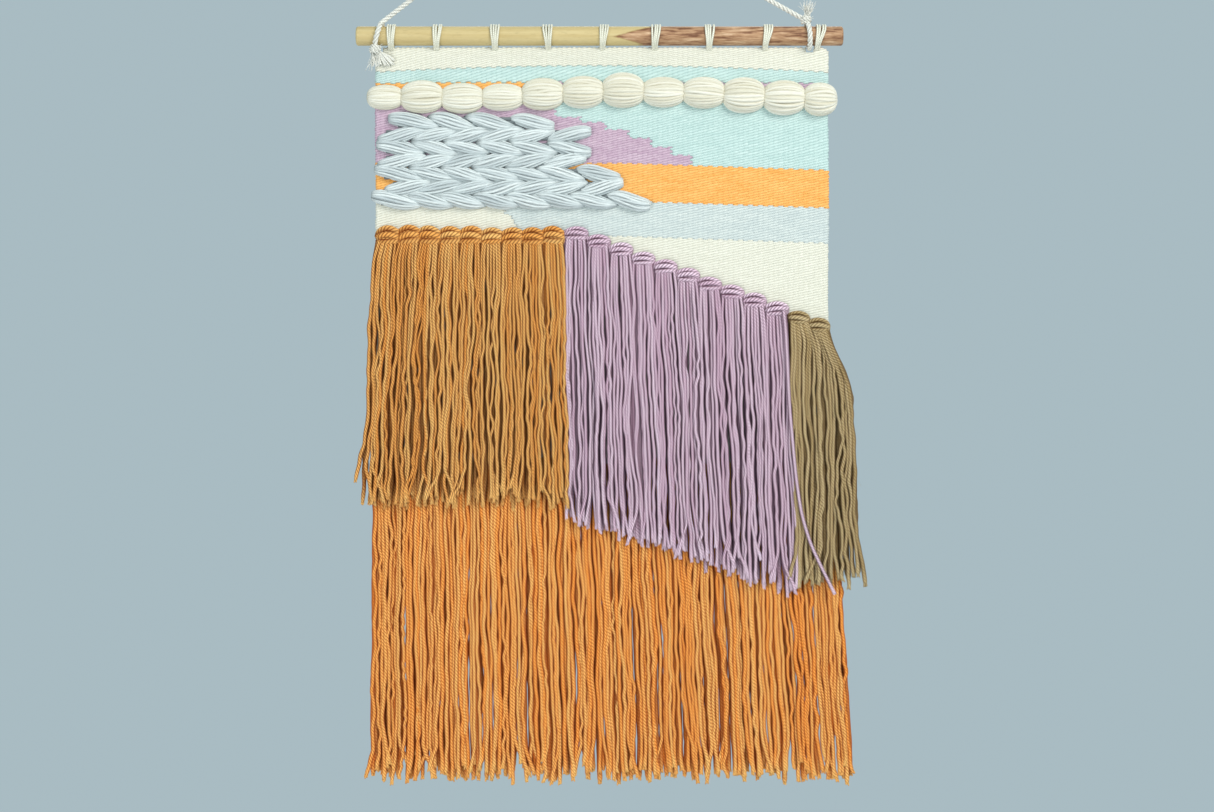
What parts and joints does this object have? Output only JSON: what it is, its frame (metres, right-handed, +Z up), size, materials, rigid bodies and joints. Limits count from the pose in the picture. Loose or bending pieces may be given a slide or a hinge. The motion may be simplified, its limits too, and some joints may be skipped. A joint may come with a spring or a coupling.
{
  "type": "tapestry wall hanging",
  "caption": "Woven wall hanging on a wooden dowel and cord, with colour bands, a stepped field, a bobble row, soumak braids and layers of long tassels.",
  "frame": {"origin": "middle of the nail that the hanging cord goes over, in the plane of the dowel's axis", "axes": "+X to the right along the dowel, -Y out of the cloth's front, +Z up"},
  "size_m": [0.406, 0.0261, 0.7417],
  "materials": {
    "white_cotton_cord": "matt twisted cotton",
    "two_tone_wood": "sanded unvarnished wood, pale sapwood to red-brown heartwood",
    "warp_cotton": "matt plied cotton",
    "lashing_cotton": "matt plied cotton",
    "cream_wool": "matt woven wool",
    "aqua_wool": "matt woven wool",
    "orange_wool": "matt woven wool",
    "mauve_wool": "matt woven wool",
    "ice_wool": "matt woven wool",
    "cream_roving": "soft unspun roving",
    "braid_roving": "soft loosely twisted roving",
    "ochre_yarn": "matt plied wool yarn",
    "lilac_yarn": "matt plied wool yarn",
    "olive_yarn": "matt plied wool yarn",
    "orange_yarn": "matt plied wool yarn"
  },
  "bodies": {
    "hanger": {"hanging_cord": "white_cotton_cord", "left_cord_loop": "white_cotton_cord", "right_cord_loop": "white_cotton_cord", "left_cord_knot": "white_cotton_cord", "right_cord_knot": "white_cotton_cord"},
    "dowel": {"dowel": "two_tone_wood"},
    "panel": {"warp_threads": "warp_cotton", "header_weft": "cream_wool", "aqua_stripe_weft": "aqua_wool", "orange_stripe_weft": "orange_wool", "mauve_field_weft": "mauve_wool", "aqua_field_weft": "aqua_wool", "orange_band_weft": "orange_wool", "ice_band_weft": "ice_wool", "cream_field_weft": "cream_wool", "bobble_row": "cream_roving", "lashing_1": "lashing_cotton", "lashing_2": "lashing_cotton", "lashing_3": "lashing_cotton", "lashing_4": "lashing_cotton", "lashing_5": "lashing_cotton", "lashing_6": "lashing_cotton", "lashing_7": "lashing_cotton", "lashing_8": "lashing_cotton", "lashing_9": "lashing_cotton", "soumak_row_1": "braid_roving", "soumak_row_2": "braid_roving", "soumak_row_3": "braid_roving", "soumak_row_4": "braid_roving", "soumak_row_5": "braid_roving", "soumak_row_6": "braid_roving", "soumak_row_7": "braid_roving", "ochre_knots": "ochre_yarn", "lilac_knots": "lilac_yarn", "olive_knots": "olive_yarn", "orange_knots": "orange_yarn"},
    "ochre_fringe": {"ochre_tassel_1": "ochre_yarn", "ochre_tassel_2": "ochre_yarn", "ochre_tassel_3": "ochre_yarn", "ochre_tassel_4": "ochre_yarn", "ochre_tassel_5": "ochre_yarn", "ochre_tassel_6": "ochre_yarn", "ochre_tassel_7": "ochre_yarn", "ochre_tassel_8": "ochre_yarn", "ochre_tassel_9": "ochre_yarn"},
    "lilac_fringe": {"lilac_tassel_1": "lilac_yarn", "lilac_tassel_2": "lilac_yarn", "lilac_tassel_3": "lilac_yarn", "lilac_tassel_4": "lilac_yarn", "lilac_tassel_5": "lilac_yarn", "lilac_tassel_6": "lilac_yarn", "lilac_tassel_7": "lilac_yarn", "lilac_tassel_8": "lilac_yarn", "lilac_tassel_9": "lilac_yarn", "lilac_tassel_10": "lilac_yarn"},
    "olive_fringe": {"olive_tassel_1": "olive_yarn", "olive_tassel_2": "olive_yarn"},
    "orange_fringe": {"orange_tassels": "orange_yarn"}
  },
  "joints": [
    {"name": "dowel_turn", "type": "hinge", "parent": "hanger", "child": "dowel", "pos_m": [0.033, 0, -0.118], "axis": [1, 0, 0], "continuous": true},
    {"name": "cloth_swing", "type": "hinge", "parent": "hanger", "child": "panel", "pos_m": [0.035, 0, -0.118], "axis": [1, 0, 0], "range_deg": [-90, 90]},
    {"name": "ochre_lift", "type": "hinge", "parent": "panel", "child": "ochre_fringe", "pos_m": [-0.0744, -0.0051, -0.2959], "axis": [-1, 0, 0], "range_deg": [0, 75]},
    {"name": "lilac_lift", "type": "hinge", "parent": "panel", "child": "lilac_fringe", "pos_m": [0.0966, -0.0051, -0.32693], "axis": [-0.9349, 0, 0.3548], "range_deg": [0, 75]},
    {"name": "olive_lift", "type": "hinge", "parent": "panel", "child": "olive_fringe", "pos_m": [0.207, -0.0051, -0.36883], "axis": [-0.9349, 0, 0.3548], "range_deg": [0, 75]},
    {"name": "orange_swing", "type": "hinge", "parent": "panel", "child": "orange_fringe", "pos_m": [0.035, 0.001, -0.4787], "axis": [-1, 0, 0], "range_deg": [-85, 0]}
  ]
}
